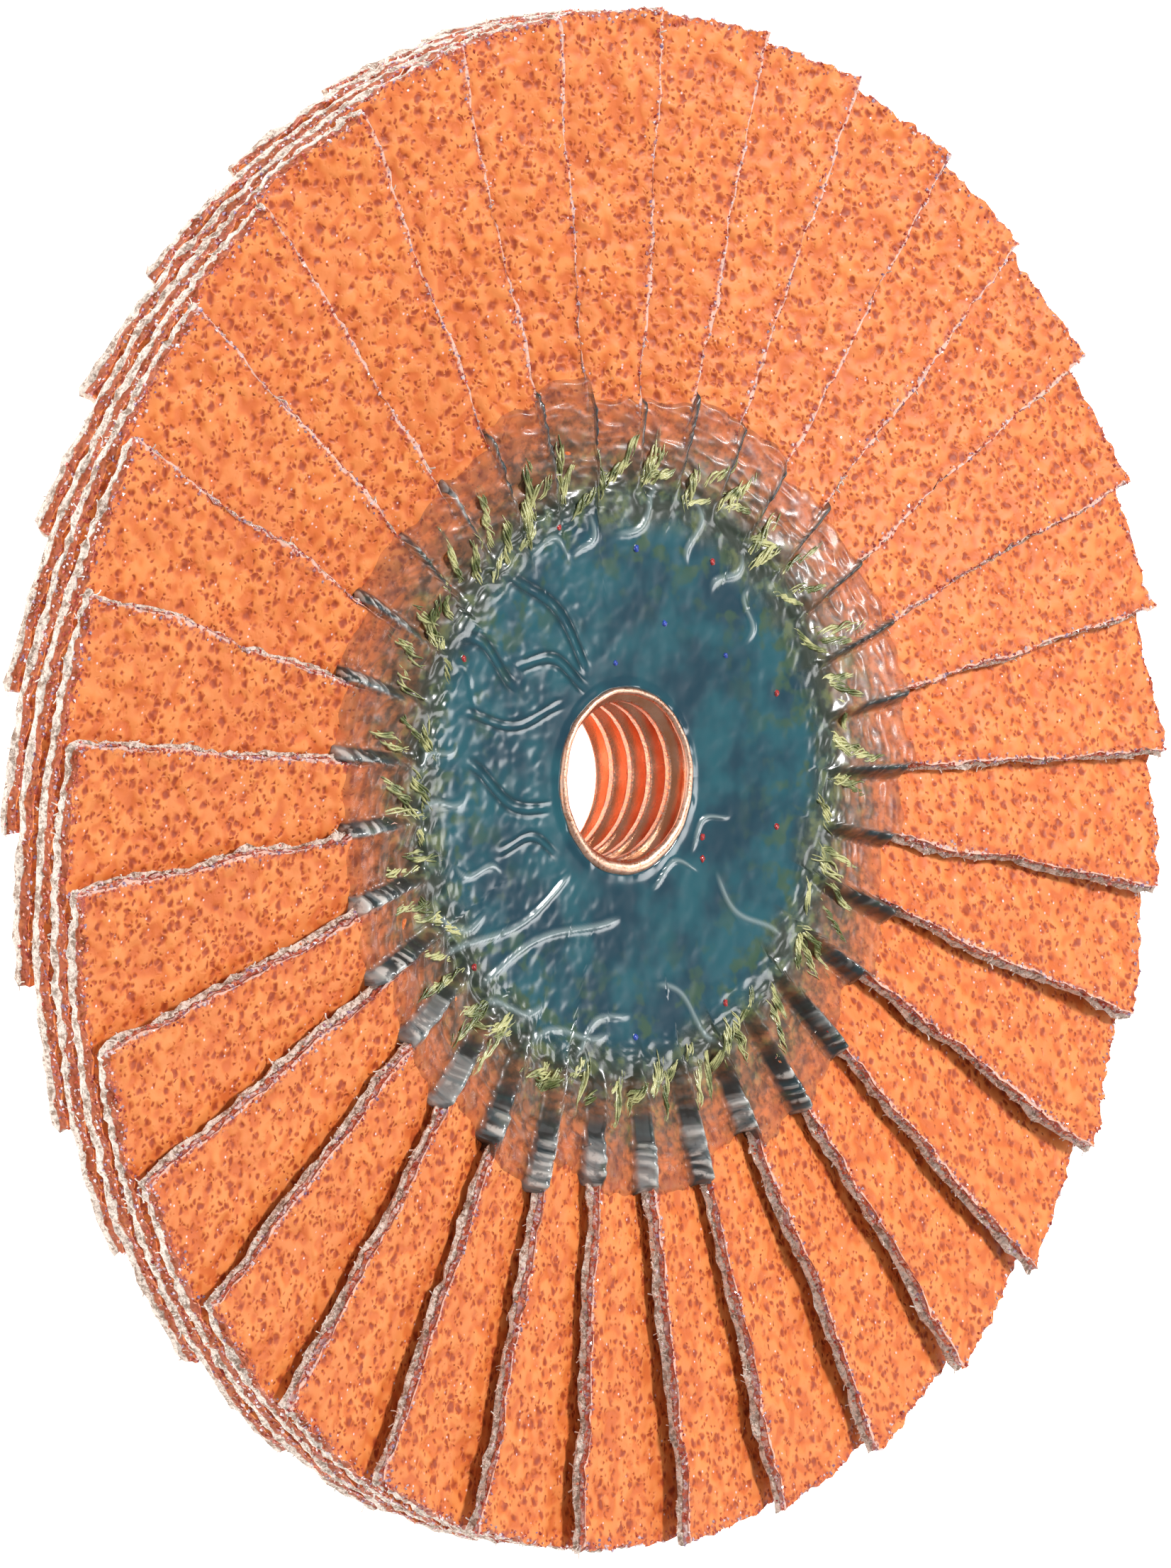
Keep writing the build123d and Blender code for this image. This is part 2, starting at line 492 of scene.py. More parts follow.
turned = size["Cut Angle"] + pitches * size["Pitch"]
turned = turned + (ragged_cut * at_cut - ragged_cut * at_tail - set_back) / radius
reach = radius + ragged_rim * at_rim + corner * corner * share * corner_spread
surface = size["Face Height"] - size["Dish"] * (1.0 - share) - step * pitches
place = start.add("ShaderNodeCombineXYZ", None, {
    "X": reach * turned.math("COSINE", turned),
    "Y": reach * turned.math("SINE", turned),
    "Z": surface - drop + wave + lumps,
})
edge = (arc * 1000.0).least((size["Outer Radius"] - radius) * 1000.0)
slab = keep_field(slab, "depth", 1.0 - topness)
slab = keep_field(slab, "edge", edge)
slab = keep_field(slab, "cut", arc * 1000.0)
slab = slab.add("GeometryNodeSetPosition", None, {"Geometry": slab, "Position": place})
slab = slab.add("GeometryNodeSetShadeSmooth", {"domain": "FACE"}, {"Geometry": slab})
edge_angle = start.add("GeometryNodeInputMeshEdgeAngle", output="Unsigned Angle")
slab = slab.add("GeometryNodeSetShadeSmooth", {"domain": "EDGE"}, {
    "Geometry": slab,
    "Selection": edge_angle.math("GREATER_THAN", edge_angle, sharp_angle),
    "Shade Smooth": False,
})
cloth_part = finish_with(slab, size["Cloth Finish"])

crystal_zone = read_field(start, "edge").ease(0.55, 0.1) * read_field(start, "depth").ease(0.5, 0.3)
crystals = start.add("GeometryNodeDistributePointsOnFaces", None, {
    "Mesh": slab,
    "Density": size["Crystal Density"] * crystal_zone,
    "Seed": size["Seed"],
}, "Points")
crystal = start.add("GeometryNodeMeshUVSphere", None, {
    "Segments": 4,
    "Rings": 2,
    "Radius": crystal_radius,
}, "Mesh")
crystals = start.add("GeometryNodeInstanceOnPoints", None, {
    "Points": crystals,
    "Instance": crystal,
    "Rotation": random_value(start, (0.0, 0.0, 0.0), any_turn, 3),
    "Scale": random_value(start, (0.5, 0.5, 0.5), (1.7, 1.7, 1.7), 4),
})
crystals = keep_field(crystals, "tint", random_value(start, 0.0, 1.0, 5), "INSTANCE")
crystals = finish_with(crystals, size["Crystal Finish"])

cut_face = read_field(start, "edge").ease(0.3, 0.0) * read_field(start, "depth").ease(0.32, 0.5)
laid_place = position.vector("MULTIPLY", position, (1000.0, 1000.0, 1000.0))
tuft = noise(laid_place, 0.35, 2.0).ease(0.5, 0.7)
roots = start.add("GeometryNodeDistributePointsOnFaces", None, {
    "Mesh": slab,
    "Density": size["Fibre Density"] * cut_face * (0.5 + tuft * 2.5),
    "Seed": size["Seed"] + 7,
}, "Points")
fibre_line = start.add("GeometryNodeCurveQuadraticBezier", None, {
    "Resolution": 2,
    "Start": (0.0, 0.0, -0.05 * mm),
    "Middle": (0.0, 0.05 * mm, 0.45 * mm),
    "End": (0.4 * mm, 0.1 * mm, 0.55 * mm),
})
fibre_section = start.add("GeometryNodeCurvePrimitiveCircle", None, {
    "Resolution": 3,
    "Radius": fibre_radius,
})
fibre = start.add("GeometryNodeCurveToMesh", None, {
    "Curve": fibre_line,
    "Profile Curve": fibre_section,
    "Fill Caps": True,
})
fibres = start.add("GeometryNodeInstanceOnPoints", None, {
    "Points": roots,
    "Instance": fibre,
    "Rotation": roots.other("Rotation"),
    "Scale": random_value(start, (0.5, 0.5, 0.4), (1.2, 1.2, 1.1), 8),
})
fibres = fibres.add("GeometryNodeRotateInstances", None, {
    "Instances": fibres,
    "Rotation": random_value(start, (-0.9, -0.9, -3.1), (0.9, 0.9, 3.1), 9),
    "Local Space": True,
})
fibres = finish_with(fibres, size["Fibre Finish"])
whole = start.add("GeometryNodeJoinGeometry", None, {"Geometry": [cloth_part, crystals, fibres]})
end_rule(whole.add("GeometryNodeRealizeInstances", None, {"Geometry": whole}))

orange = (0.90, 0.230, 0.044)
orange_light = (0.95, 0.305, 0.082)
pit_red_and_shade = (0.72, 0.140, 0.028)
pit_brown_and_shade = (0.40, 0.060, 0.016)
shade_red = (0.66, 0.125, 0.030)
edge_red_and_shade = (0.34, 0.066, 0.017)
crushed_red = (0.36, 0.055, 0.06)
glint_pink = (0.95, 0.62, 0.60)
fringe_pink = (0.92, 0.60, 0.50)
cloth_light = (0.97, 0.82, 0.71)
cloth_dark = (0.42, 0.29, 0.22)
cloth_shaded = (0.24, 0.12, 0.08)
frayed_dark = (0.72, 0.56, 0.45)
frayed_light = (0.96, 0.87, 0.78)
cloth_weave_pitch = 0.7
broken_grain = [
    (0.0, (0.42, 0.08, 0.05)),
    (0.3, (0.75, 0.22, 0.12)),
    (0.55, (0.42, 0.27, 0.30)),
    (0.75, (0.80, 0.52, 0.46)),
    (1.0, (0.92, 0.80, 0.77)),
]
crystal_colors = [
    (0.0, (0.30, 0.03, 0.03)),
    (0.3, (0.62, 0.12, 0.08)),
    (0.5, (0.85, 0.28, 0.12)),
    (0.7, (0.30, 0.20, 0.36)),
    (0.85, (0.80, 0.62, 0.66)),
    (1.0, (0.95, 0.85, 0.88)),
]


def painted_field(start, name):
    """Number that the mesh holds at each point, for its material."""
    return start.add("ShaderNodeAttribute", {"attribute_name": name}, output="Fac")


def cells(place, scale):
    """Distance to the nearest of many scattered points; its Color output differs for each point."""
    return place.add("ShaderNodeTexVoronoi", None, {"Vector": place, "Scale": scale}, "Distance")


def cell_chance(pattern):
    """Random number for each point of a scattered pattern; its Green output is a second one."""
    return pattern.add("ShaderNodeSeparateColor", None, {0: pattern.other("Color")}, "Red")


def pit_mask(place, scale, share, size, softness):
    """Soft round pits in part of the cells of a scattered pattern."""
    distance = cells(place, scale)
    chance = cell_chance(distance)
    spread = distance / (0.6 + chance.other("Green") * 0.8)
    return spread.ease(size + softness, size - softness) * chance.ease(share, share - 0.05)


def color_by(chance, stops):
    return chance.add("ShaderNodeValToRGB", {"stops": stops}, {0: chance}, "Color")


coated_cloth, start, shader = new_finish("coated_cloth", {"Specular IOR Level": 0.35})
place = place_in_mm(start)
depth = painted_field(start, "depth")
edge = painted_field(start, "edge")
cut = painted_field(start, "cut")
waver = noise(place, 1.9, 1.0)
bend = place.add("ShaderNodeTexNoise", None, {"Vector": place, "Scale": 1.5, "Detail": 1.0}, "Color")
bent = place.vector("ADD", place, bend.vector("MULTIPLY", bend, (0.8, 0.8, 0.8)))
pits = pit_mask(bent, 1.05, 0.9, 0.27, 0.25).most(pit_mask(bent, 1.8, 0.8, 0.25, 0.24) * 0.9)
swell = noise(place, 0.95, 0.0)
valley = noise(place, 0.33, 1.0).ease(0.42, 0.62)
# The coat's tone follows its swell: lighter on the swells' tops, with a red shade painted into their lows
# and into the valleys.
grain_color = swell.ease(0.3, 0.62).blend(orange, orange_light)
shade_in_hollows = swell.ease(0.5, 0.3) * 0.4 + (1.0 - valley) * 0.28
grain_color = shade_in_hollows.blend(grain_color, shade_red)
# The pits are darker and redder where their coat is thin, and shade is painted into them as well.
grain_color = pits.ease(0.0, 0.7).blend(grain_color, pit_red_and_shade)
grain_color = pits.ease(0.2, 1.0).blend(grain_color, pit_brown_and_shade)
glint_cells = cells(place, 2.6)
glint = cell_chance(glint_cells).ease(0.93, 0.95) * glint_cells.ease(0.3, 0.18)
grain_color = glint.blend(grain_color, glint_pink)
crushed = edge.ease(0.9, 0.0) * noise(place, 2.4, 2.0).ease(0.5, 0.62)
grain_color = (crushed * 0.8).blend(grain_color, crushed_red)
side_grain = depth.ease(0.02, 0.12)
# The grain's cut sides turn a darker red-brown: partly the colour of the cut grain, partly shade painted
# between the layers.
grain_color = (side_grain * (0.45 + waver * 0.8)).blend(grain_color, edge_red_and_shade)
fringe = (cut + (waver - 0.5) * 0.5).ease(0.2, 0.08) * (1.0 - side_grain)
grain_color = (fringe * 0.8).blend(grain_color, fringe_pink)
broken_color = color_by(cell_chance(cells(place, 3.4)).other("Green"), broken_grain)
at_cut = cut.ease(0.5, 0.2)
grain_color = (side_grain * at_cut * 0.85).blend(grain_color, broken_color)

threads = noise(place, 3.6, 3.0, 0.65) * 0.5 + noise(place, 1.3, 2.0) * 0.5
cloth_color = threads.ease(0.40, 0.54).blend(cloth_dark, cloth_light)
cloth_color = (depth.ease(0.76, 0.95) * at_cut * 0.9).blend(cloth_color, cloth_shaded)
uncovered = (depth + at_cut * 0.1 + (noise(place, 1.5, 2.0) - 0.5) * 0.3).ease(0.49, 0.56)
height = (swell * 0.65 + waver * 0.08 - pits * 0.3 + valley * 0.3) * (1.0 - uncovered)
woven = threads * 2.0 + plain_weave(place, cloth_weave_pitch) * 0.3
height = height + uncovered * woven + side_grain * waver
feed(shader, {
    "Base Color": uncovered.blend(grain_color, cloth_color),
    "Roughness": 0.5 + uncovered * 0.4 - glint * 0.35,
    "Normal": relief(height, 1.0, 0.30 * mm),
})

crystal_finish, start, shader = new_finish("crushed_crystal", {"Roughness": 0.12, "Coat Weight": 0.5})
feed(shader, {"Base Color": color_by(painted_field(start, "tint"), crystal_colors)})

frayed_thread, start, shader = new_finish("frayed_thread", {"Roughness": 0.8})
bleach = noise(place_in_mm(start), 0.9, 1.0).ease(0.3, 0.55)
feed(shader, {"Base Color": bleach.blend(frayed_dark, frayed_light)})

flap_values = {
    "Points Along": 58,
    "Points Across": 38,
    "Inner Radius": flap_inner_radius,
    "Outer Radius": disc_radius,
    "Thickness": flap_thickness,
    "Bond Step": bond_step,
    "Rim Step": rim_step,
    "Face Height": face_height,
    "Dish": face_dish,
    "Overlap": flap_overlap,
    "Pitch": flap_pitch,
    "Crystal Density": 5.5e6,
    "Fibre Density": 4.2e6,
    "Cloth Finish": coated_cloth,
    "Crystal Finish": crystal_finish,
    "Fibre Finish": frayed_thread,
}
lay_error = np.random.default_rng(3).uniform(-0.2, 0.2, flap_count) * mm / flap_inner_radius
for index in range(flap_count):
    values = {"Cut Angle": float(lay_error[index]) - index * flap_pitch, "Seed": index + 1, **flap_values}
    flap = grow(f"cloth_flap_{index + 1:02d}", flap_tree, values)
    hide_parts(f"flap_{index + 1:02d}")


# Resin of the front
# Teal casting resin poured round the bush: a dished, finely dimpled skin that wrinkled as it
# cured. Its clear film runs out over the flaps' inner ends and bridges each step between them.
resin_inner_radius = 7.0 * mm
resin_below_lip = 0.35 * mm
resin_flap_start = 20.6 * mm
resin_climb_width = 3.8 * mm
resin_dish = 0.02 * mm
film_thickness = 0.24 * mm
film_reach = 29.8 * mm
film_buried = 0.5 * mm
dimple_depth = 0.003 * mm
dimple_depth_left = 0.010 * mm
crease_depth = 0.085 * mm
crease_depth_left = 0.065 * mm
crease_radius = 23 * mm
wrinkle_end = 1.2 * mm
wrinkle_bend = 0.7 * mm
sink_rim = 1.6
under_bush_lip = 1.2 * mm
core_thickness = 1.6 * mm
columns_per_flap = 20
resin_rows = 142
under_rows = 5


def soft_noise(x, y, seed):
    """Smooth random field from -1 to 1 with about one bump to each unit."""
    period = 256
    table = np.random.default_rng(seed).uniform(-1, 1, (period, period))
    left = np.floor(x).astype(int)
    low = np.floor(y).astype(int)
    u = x - left
    v = y - low
    u = u * u * (3 - 2 * u)
    v = v * v * (3 - 2 * v)

    def corner(right, up):
        return table[np.mod(left + right, period), np.mod(low + up, period)]

    bottom = corner(0, 0) * (1 - u) + corner(1, 0) * u
    top = corner(0, 1) * (1 - u) + corner(1, 1) * u
    return bottom * (1 - v) + top * v


def ease(value, low, high):
    """0 at low, 1 at high, with soft ends; low may be the larger number."""
    share = np.clip((value - low) / (high - low), 0, 1)
    return share * share * (3 - 2 * share)


def flap_surface(radius, pitches):
    """Height of the flaps' grain faces, so many pitches past a cut edge."""
    share = (radius - flap_inner_radius) / (disc_radius - flap_inner_radius)
    step = bond_step + (rim_step - bond_step) * share
    return face_height - face_dish * (1 - share) - step * pitches


def polar(radius_mm, degrees):
    """Point of the front, from a radius in millimetres and an angle in degrees."""
    turn = math.radians(degrees)
    return np.array([math.cos(turn), math.sin(turn)]) * radius_mm * mm


column_count = columns_per_flap * flap_count
angle = 2 * math.pi * (np.arange(column_count) + 0.5) / column_count
pitches = np.mod(angle / flap_pitch, 1.0)
flap_number = np.floor(angle / flap_pitch)
tab_length = np.random.default_rng(5).uniform(-1.1, 1.3, flap_count)
lower_side = ease(-np.sin(angle), 0.2, 1.0)
reach = film_reach + tab_length[flap_number.astype(int)] * mm + lower_side * 0.8 * mm
over_step = np.maximum(ease(pitches, 0.72, 0.9), ease(pitches, 0.06, 0.0))
over_step = over_step * (lower_side - 0.25) * (0.3 + soft_noise(flap_number * 1.7, flap_number * 0, 8))
reach = reach + over_step * mm
reach = reach + soft_noise(angle * 28, angle * 0, 9) * 0.35 * mm

share = (np.arange(resin_rows) / (resin_rows - 1))[:, None]
radius = resin_inner_radius + (reach[None, :] - resin_inner_radius) * share
angle = np.broadcast_to(angle, radius.shape)
pitches = np.broadcast_to(pitches, radius.shape)
x = radius * np.cos(angle)
y = radius * np.sin(angle)

at_bush = lip_height - resin_below_lip
at_flaps = flap_surface(flap_inner_radius, 0.35) + film_thickness
run = np.clip((radius - lip_outer_radius) / (flap_inner_radius - lip_outer_radius), 0, 1)
core = at_bush + (at_flaps - at_bush) * run - resin_dish * np.sin(math.pi * run)
climb = ease(pitches, 0.76, 0.97)
strip = flap_surface(radius, pitches) * (1 - climb) + flap_surface(radius, 0) * climb
strip = strip + film_thickness
onto_flaps = ease(radius, resin_flap_start, resin_flap_start + resin_climb_width)
height = core * (1 - onto_flaps) + strip * onto_flaps

left_side = ease(-x, -4 * mm, 10 * mm)
dimples = soft_noise(x / (0.7 * mm), y / (0.5 * mm), 1)
dimples = dimples + 0.8 * soft_noise((x + y) / (0.75 * mm), (x - y) / (0.75 * mm), 2)
core_area = ease(radius, 8.3 * mm, 9.5 * mm) * (1 - ease(radius, 20 * mm, 23 * mm))
height = height + dimples * (dimple_depth + dimple_depth_left * left_side) * core_area
slant = angle * crease_radius + radius
counter_slant = angle * crease_radius - radius
creases = soft_noise(angle * 10, radius / (0.55 * mm), 3)
creases = creases + 0.7 * soft_noise(slant / (1.9 * mm), counter_slant / (0.7 * mm), 4)
creases = 1 - np.abs(creases) * 1.6
crease_area = ease(radius, 18.5 * mm, 22 * mm) * (1 - ease(share, 0.96, 1.0))
height = height + creases * (crease_depth + crease_depth_left * left_side) * crease_area

# Where the film bridges a step between two flaps it stands proud, ribbed across like a bellows.
rib_phase = 5.6 * radius / mm + 6.0 * soft_noise(angle * 22, radius / (1.6 * mm), 6)
ribs = np.sin(rib_phase) * (0.8 + 0.4 * soft_noise(angle * 14, radius / (1.3 * mm), 7))
tube_start = (25.4 + 1.1 * lower_side + 1.3 * soft_noise(flap_number * 3.1, flap_number * 0, 31)) * mm
left_end = ease(-np.cos(angle), 0.2, 0.9)
bridge_side = 0.80 - 0.03 * left_end - 0.05 * lower_side
ribbed = np.maximum(left_end, lower_side)
bridge = ease(pitches, bridge_side, bridge_side + 0.1) * (1 - ease(pitches, 0.97, 1.0))
bridge = bridge * ease(radius, tube_start, tube_start + mm)
bridge_rise = 0.18 + 0.08 * lower_side + 0.12 * ribs * ribbed
height = height + bridge_rise * mm * bridge * (1 - ease(share, 0.985, 1.0))

# Wrinkles: radius in millimetres and angle in degrees of both ends, then width and height in
# millimetres. One with a negative height is a shallow sink between two low rims, with shade painted along
# them.
wrinkles = [
    ((20.6, 126), (9.6, 112), 0.27, -0.05),
    ((21.5, 147), (13.7, 144), 0.27, -0.05),
    ((14.7, 139), (8.6, 116), 0.27, -0.05),
    ((17.7, 163), (8.4, 140), 0.22, -0.04),
    ((17.1, 175), (8.4, 194), 0.27, -0.05),
    ((14.2, 196), (8.6, 214), 0.22, -0.04),
    ((22.0, 185), (17.1, 180), 0.24, 0.13),
    ((21.8, 176), (18.6, 168), 0.20, 0.12),
    ((20.6, 118), (18.2, 108), 0.20, 0.12),
    ((19.4, 46), (16.2, 38), 0.20, 0.11),
    ((20.8, 252), (17.0, 268), 0.20, 0.12),
    ((23.4, 213), (9.3, 230), 0.22, 0.14),
    ((21.2, 221), (9.7, 263), 0.22, 0.14),
    ((23.2, 205), (17.9, 212), 0.22, 0.13),
    ((22.8, 226), (18.3, 241), 0.22, 0.14),
    ((22.0, 240), (18.5, 262), 0.22, 0.13),
    ((19.0, 196), (15.0, 206), 0.20, 0.12),
    ((7.9, 288), (9.8, 318), 0.16, 0.12),
    ((8.3, 322), (10.9, 346), 0.16, 0.12),
    ((12.0, 320), (20.4, 320), 0.20, 0.11),
    ((15.6, 280), (21.8, 295), 0.20, 0.11),
    ((18.0, 92), (21.8, 80), 0.24, 0.14),
    ((16.6, 55), (21.0, 53), 0.24, 0.14),
    ((17.4, 106), (20.4, 99), 0.24, 0.14),
    ((22.0, 70), (17.5, 66), 0.22, 0.12),
    ((21.5, 152), (16.0, 158), 0.22, 0.05),
]
sink_rim_shade = np.zeros_like(x)
ridge_sheen_mask = np.zeros_like(x)
for first_end, last_end, width, rise in wrinkles:
    first_x, first_y = polar(*first_end)
    way = polar(*last_end) - polar(*first_end)
    length = np.hypot(*way)
    way = way / length
    forward = (x - first_x) * way[0] + (y - first_y) * way[1]
    sideways = (y - first_y) * way[0] - (x - first_x) * way[1]
    sideways = sideways + wrinkle_bend * np.sin(forward / length * 5.5 + first_end[0])
    fade_in = ease(forward, -0.3 * mm, wrinkle_end)
    fade_out = ease(forward, length - wrinkle_end, length + 0.3 * mm)
    ends = fade_in * (1 - fade_out)
    across = sideways / (width * mm)
    profile = np.exp(-across ** 2)
    if rise < 0:
        from_rim = (np.abs(across) - sink_rim) ** 2
        profile = 0.8 * profile - np.exp(-from_rim * 2.0)
        sink_rim_shade = np.maximum(sink_rim_shade, ends * np.exp(-from_rim * 1.6))
    elif rise > 0.1:
        ridge_sheen_mask = np.maximum(ridge_sheen_mask, ends * profile)
    height = height + rise * mm * ends * profile

# The film's border dips into the grain, and at the bush the resin creeps up the lip.
height = height - ease(share, 0.975, 1.0) * (film_thickness + 0.12 * mm)
meniscus = 1 - ease(radius, lip_outer_radius, lip_outer_radius + 0.8 * mm)
height = height + meniscus * 0.10 * mm + meniscus * 0.05 * mm * soft_noise(angle * 9, radius * 0, 12)

underside = np.where(
    radius < flap_inner_radius,
    core - core_thickness,
    flap_surface(radius, pitches) - film_buried,
)
underside[0] = lip_height - under_bush_lip
kept = np.linspace(resin_rows - 1, 0, under_rows).astype(int)
rings = np.concatenate([
    np.stack([x, y, height], axis=2),
    np.stack([x, y, underside], axis=2)[kept],
])

# What the finish reads at each point: how deep the resin is, where its film is a tube over a
# step, the tube's ribs, the sinks' rims where shade is painted, the wrinkles' ridges where a sheen is
# painted, and how far out the point lies.
thick = 1 - ease(radius, 21.6 * mm, 25.2 * mm) * (0.6 + 0.4 * ease(creases, 0.9, 0.2))
tube = ease(pitches, bridge_side, bridge_side + 0.06) * (1 - ease(pitches, 0.985, 1.0))
tube = tube * ease(radius, tube_start - 2.5 * mm, tube_start - 0.5 * mm)
resin_fields = {
    "thick": thick,
    "tube": tube,
    "rib": bridge * (0.5 + 0.5 * ribs) * ribbed,
    "fold": sink_rim_shade,
    "ridge": ridge_sheen_mask,
    "border": share * np.ones_like(x),
}
resin_fields = {
    name: np.concatenate([values, values[kept]]) for name, values in resin_fields.items()
}

teal_deep = (0.002, 0.042, 0.070)
teal_light = (0.010, 0.100, 0.130)
teal_olive = (0.045, 0.100, 0.050)
ring_murk_and_shade = (0.020, 0.032, 0.018)
stain_green = (0.17, 0.18, 0.05)
sink_shade_teal = (0.003, 0.028, 0.040)
film_orange = (0.80, 0.25, 0.095)
film_brown = (0.25, 0.095, 0.052)
ridge_sheen_grey = (0.30, 0.38, 0.38)
tube_void_shade = (0.022, 0.022, 0.020)
tube_pale = (0.26, 0.26, 0.25)
rib_highlight_grey = (0.78, 0.76, 0.71)

resin_finish, start, shader = new_finish("cured_resin", {
    "Specular IOR Level": 0.6,
    "Coat Roughness": 0.11,
})
place = place_in_mm(start)
field = {name: painted_field(start, name) for name in resin_fields}
cloud = noise(place, 0.22, 3.0)
streaks = noise(place, 1.1, 3.0, 0.6)
teal = cloud.ease(0.35, 0.65).blend(teal_deep, teal_light)
olive = noise(place, 0.6, 2.0).ease(0.5, 0.66) * field["border"].ease(0.15, 0.6)
teal = olive.blend(teal, teal_olive)
# In the ring of yarns the resin is murky, and shade is painted there among the yarns.
ring = field["border"].ease(0.50, 0.62) * field["border"].ease(0.90, 0.76)
murk_and_shade = ring * noise(place, 0.8, 2.0).ease(0.72, 0.46)
teal = murk_and_shade.blend(teal, ring_murk_and_shade)
stained = ring * noise(place, 0.8, 3.0).ease(0.48, 0.7)
teal = (stained * 0.7).blend(teal, stain_green)
# Shade is painted along the rims of the sinks.
teal = (field["fold"] * 0.85).blend(teal, sink_shade_teal)
# The ridges of the raised wrinkles get a painted grey sheen.
teal = (field["ridge"] * 0.75).blend(teal, ridge_sheen_grey)
film_color = streaks.ease(0.36, 0.6).blend(film_brown, film_orange)
# A film tube is painted dark for the shade in the void under it, with random paler patches, and its rib
# tops carry a painted grey highlight.
rib_foot = noise(place, 0.16, 0.0).ease(0.42, 0.58) * field["rib"].ease(0.0, 0.2)
rib_highlight = field["rib"].ease(0.35, 0.8) * streaks.ease(0.33, 0.5)
tube_color = (rib_highlight * 0.8).blend(rib_foot.blend(tube_void_shade, tube_pale), rib_highlight_grey)
film_color = (murk_and_shade * 0.6).blend(film_color, ring_murk_and_shade)
film_color = (stained * 0.6).blend(film_color, stain_green)
film_color = field["tube"].blend(film_color, tube_color)
ripples = noise(place, 0.8, 0.0) + (1.0 - field["thick"]) * noise(place, 1.6, 1.0)
feed(shader, {
    "Base Color": field["thick"].blend(film_color, teal),
    "Roughness": 0.12 + streaks * 0.12 + (1.0 - field["thick"]) * 0.25 + ring * 0.14,
    "Coat Weight": 0.2 + field["thick"].most(field["tube"]) * 0.4 - ring * 0.2,
    "Normal": relief(ripples, 0.15, 0.25 * mm),
    "Alpha": 1.0 - field["border"].ease(0.72, 1.0) * (1.0 - field["tube"]) * 0.65,
})
resin_faces = grid_faces(resin_rows + under_rows, column_count, True)
resin = new_piece("wrinkled_resin", rings.reshape(-1, 3), resin_faces, resin_finish)
for name, values in resin_fields.items():
    layer = resin.data.attributes.new(name, "FLOAT", "POINT")
    layer.data.foreach_set("value", values.ravel().astype(np.float32))
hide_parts("resin_face")


# Frayed yarns
# Where the flaps were cut from the roll, the ends of the backing's yarns came loose. Three short
# twisted bundles lie beside each flap, half sunk in the resin, which stained them yellow-green.
strand_sides = 4
strand_stations = 11
strand_radius = 0.11 * mm
strands_in_yarn = 9
yarn_spread = 0.40 * mm
# Length in millimetres and lean in pitches of each bundle, then its height over the skin in
# millimetres at shares of its length.
lengths_and_leans = ((1.8, 0.9), (3.6, 0.5), (5.0, 0.3))
shares_and_heights = ((0.0, -0.2), (0.33, -0.05), (0.67, -0.02), (1.0, -0.24))
stain_dark = (0.13, 0.16, 0.045)
stain_light = (0.66, 0.64, 0.30)
random = np.random.default_rng(21)


def yarn_mesh(points, turns, vertices, faces):
    """Adds thin strands twisted loosely round each other along a smooth run of points."""
    knots = np.array(points)
    at = np.linspace(0, len(knots) - 1, strand_stations)
    line = np.stack([np.interp(at, range(len(knots)), knots[:, axis]) for axis in range(3)], axis=1)
    line[1:-1] = (line[:-2] + 2 * line[1:-1] + line[2:]) / 4
    ahead = np.gradient(line, axis=0)
    ahead /= np.linalg.norm(ahead, axis=1)[:, None]
    side = np.cross(ahead, [0.0, 0.0, 1.0])
    side /= np.linalg.norm(side, axis=1)[:, None]
    upward = np.cross(side, ahead)
    way = np.linspace(0, 1, strand_stations)
    taper = np.sqrt(np.clip(np.sin(np.linspace(0.1, math.pi - 0.1, strand_stations)), 0, 1))
    bulk = random.uniform(0.6, 1.3)
    for strand in range(strands_in_yarn):
        twist = 2 * math.pi * (turns * way * random.uniform(0.6, 1.4) + strand / strands_in_yarn)
        waviness = random.uniform(0.1, 0.5) * np.sin(way * random.uniform(3, 8) + strand * 2)
        spread = yarn_spread * bulk * (random.uniform(0.3, 1.1) + waviness)
        round_line = np.cos(twist)[:, None] * side + 0.4 * np.sin(twist)[:, None] * upward
        centre = line + spread[:, None] * round_line
        first = len(vertices)
        for station in range(strand_stations):
            for corner in range(strand_sides):
                turn = 2 * math.pi * corner / strand_sides
                ring = math.cos(turn) * side[station] + math.sin(turn) * upward[station]
                vertices.append(centre[station] + ring * strand_radius * taper[station])
        for face in grid_faces(strand_stations, strand_sides):
            faces.append(tuple(first + corner for corner in reversed(face)))
        last = first + (strand_stations - 1) * strand_sides
        faces.append(tuple(first + corner for corner in range(strand_sides)))
        faces.append(tuple(last + corner for corner in reversed(range(strand_sides))))


def on_resin(radius, turn, above):
    """Point so far above the resin's skin, at a radius and at pitches counted all round."""
    column = int(turn % flap_count * columns_per_flap) % column_count
    skin = rings[:resin_rows, column]
    row = np.argmin(np.abs(skin[:, 0] ** 2 + skin[:, 1] ** 2 - radius ** 2))
    spin = turn * flap_pitch
    return (radius * math.cos(spin), radius * math.sin(spin), skin[row, 2] + above)


yarn_vertices = []
yarn_faces = []
for index in range(flap_count):
    for length, lean in lengths_and_leans:
        foot = random.uniform(20.0, 23.0)
        beside = index + random.uniform(0.3, 1.1)
        knots = []
        for share_along, above in shares_and_heights:
            at_radius = foot + length * share_along + random.uniform(-0.4, 0.4)
            knots.append(on_resin(at_radius * mm, beside - lean * share_along, above * mm))
        yarn_mesh(knots, random.uniform(0.7, 1.6), yarn_vertices, yarn_faces)

